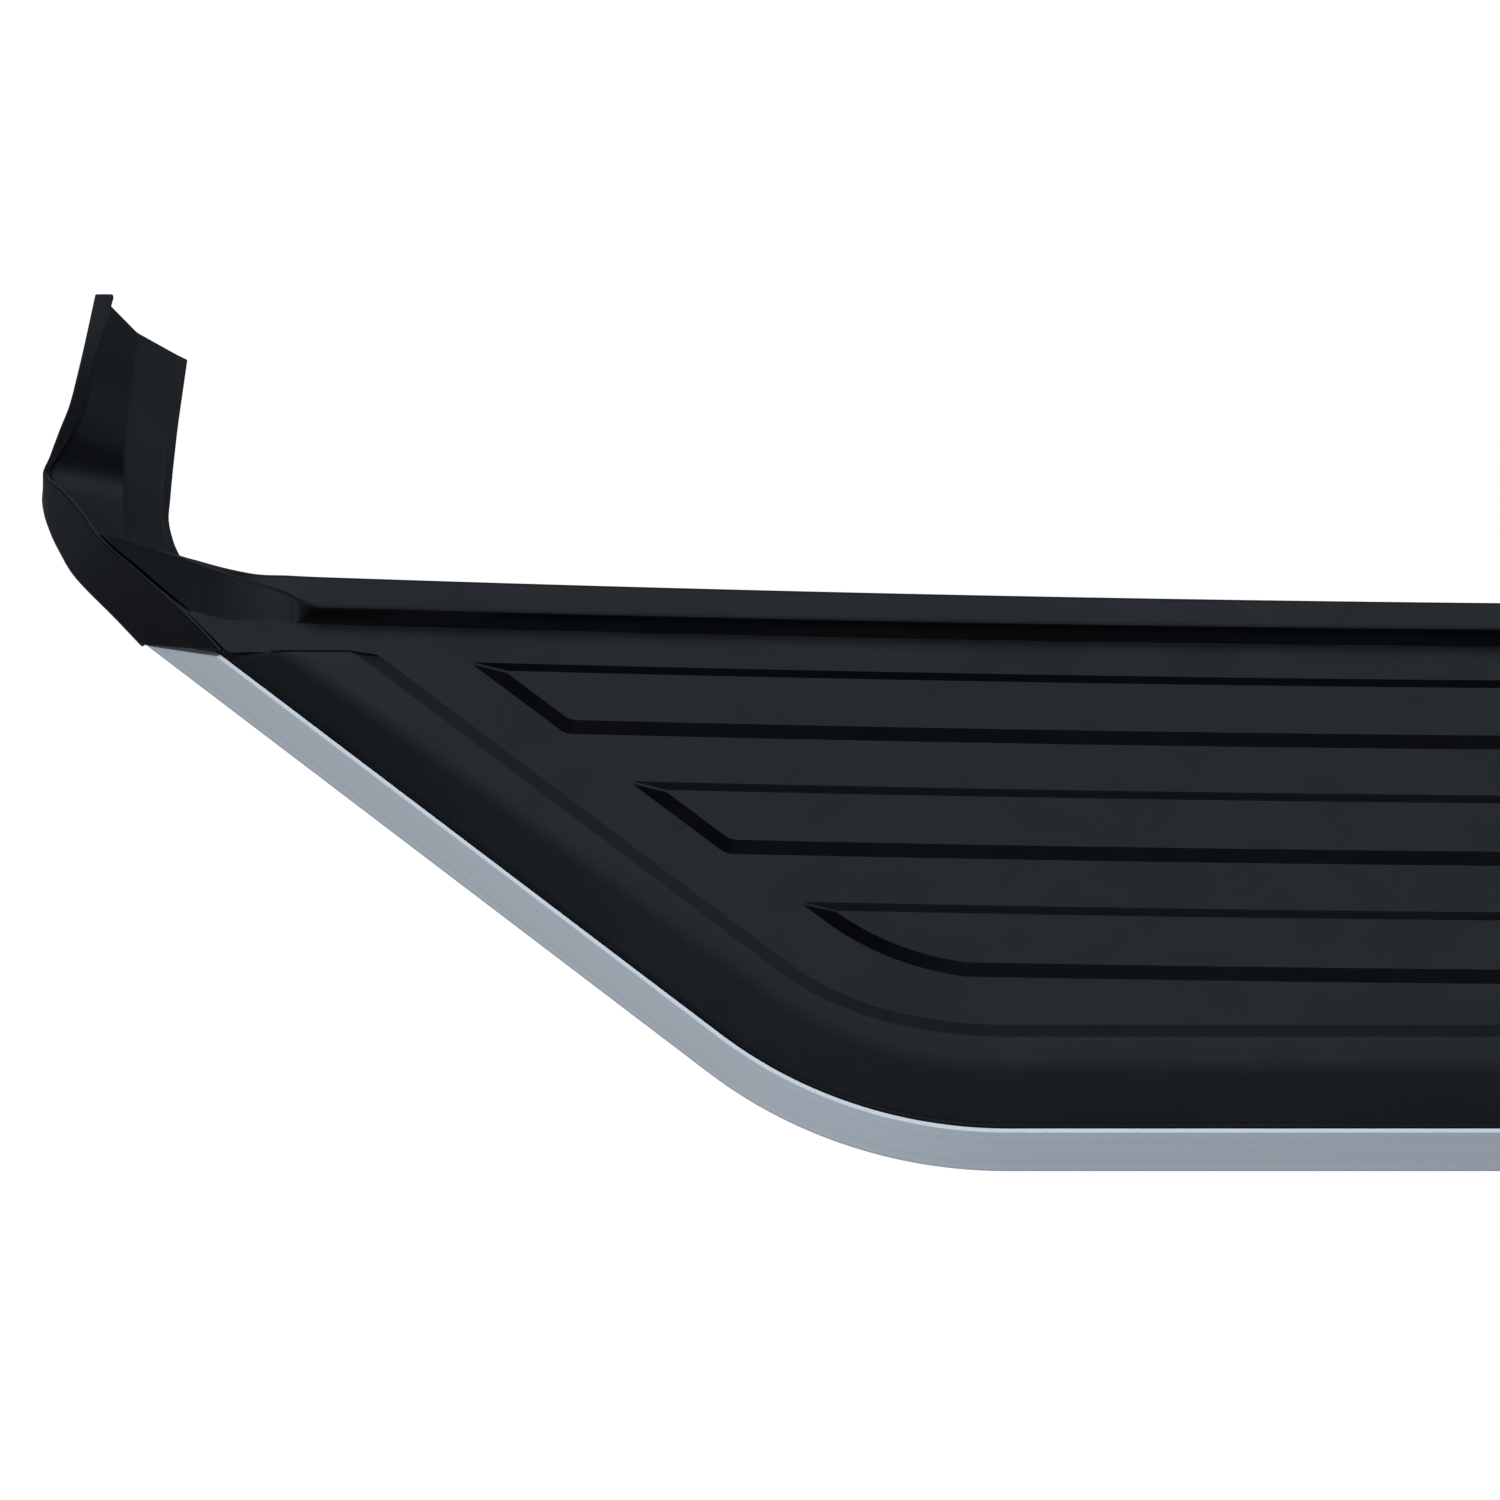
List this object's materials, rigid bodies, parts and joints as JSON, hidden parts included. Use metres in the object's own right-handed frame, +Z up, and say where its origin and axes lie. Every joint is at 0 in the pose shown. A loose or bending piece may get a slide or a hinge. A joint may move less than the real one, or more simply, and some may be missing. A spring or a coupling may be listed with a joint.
{
  "type": "running board",
  "caption": "Vehicle running board: ribbed black tread cover with swept ends, silver edge trim, winged end caps and sliding under-sill brackets.",
  "frame": {"origin": "on the ground plane under the middle of the whole board, at the level of the brackets' lowest edges", "axes": "+X along the board, +Y inboard towards the vehicle, +Z up"},
  "size_m": [1.9, 0.3158, 0.09],
  "materials": {
    "tread_plastic": "fine moulded grain, satin",
    "cap_plastic": "smooth satin moulding",
    "silver_trim": "satin silver lacquer",
    "core_aluminium": "mill finish extrusion",
    "rubber": "matt black EPDM",
    "coated_steel": "black powder coat",
    "clip_nylon": "natural nylon",
    "zinc_steel": "bright zinc plate"
  },
  "bodies": {
    "board": {"tread_cover": "tread_plastic", "core_extrusion": "core_aluminium", "trim_strip": "silver_trim", "rocker_seal": "rubber", "end_cap_left": "cap_plastic", "end_cap_left_screw_1": "zinc_steel", "end_cap_left_screw_2": "zinc_steel", "end_cap_left_screw_3": "zinc_steel", "end_cap_right": "cap_plastic", "end_cap_right_screw_1": "zinc_steel", "end_cap_right_screw_2": "zinc_steel", "end_cap_right_screw_3": "zinc_steel", "trim_clip_1": "clip_nylon", "trim_clip_2": "clip_nylon", "trim_clip_3": "clip_nylon", "trim_clip_4": "clip_nylon", "trim_clip_left_end": "clip_nylon", "trim_clip_right_end": "clip_nylon"},
    "bracket_left": {"bracket_left": "coated_steel", "bracket_pad_left": "rubber", "t_bolt_left_1": "zinc_steel", "t_bolt_left_2": "zinc_steel", "washer_left_1": "zinc_steel", "washer_left_2": "zinc_steel", "nut_left_1": "zinc_steel", "nut_left_2": "zinc_steel"},
    "bracket_middle": {"bracket_middle": "coated_steel", "bracket_pad_middle": "rubber", "t_bolt_middle_1": "zinc_steel", "t_bolt_middle_2": "zinc_steel", "washer_middle_1": "zinc_steel", "washer_middle_2": "zinc_steel", "nut_middle_1": "zinc_steel", "nut_middle_2": "zinc_steel"},
    "bracket_right": {"bracket_right": "coated_steel", "bracket_pad_right": "rubber", "t_bolt_right_1": "zinc_steel", "t_bolt_right_2": "zinc_steel", "washer_right_1": "zinc_steel", "washer_right_2": "zinc_steel", "nut_right_1": "zinc_steel", "nut_right_2": "zinc_steel"}
  },
  "joints": [
    {"name": "slide_left", "type": "slide", "parent": "board", "child": "bracket_left", "axis": [1, 0, 0], "range_m": [-0.05, 0.05]},
    {"name": "slide_middle", "type": "slide", "parent": "board", "child": "bracket_middle", "axis": [1, 0, 0], "range_m": [-0.05, 0.05]},
    {"name": "slide_right", "type": "slide", "parent": "board", "child": "bracket_right", "axis": [1, 0, 0], "range_m": [-0.05, 0.05]}
  ]
}
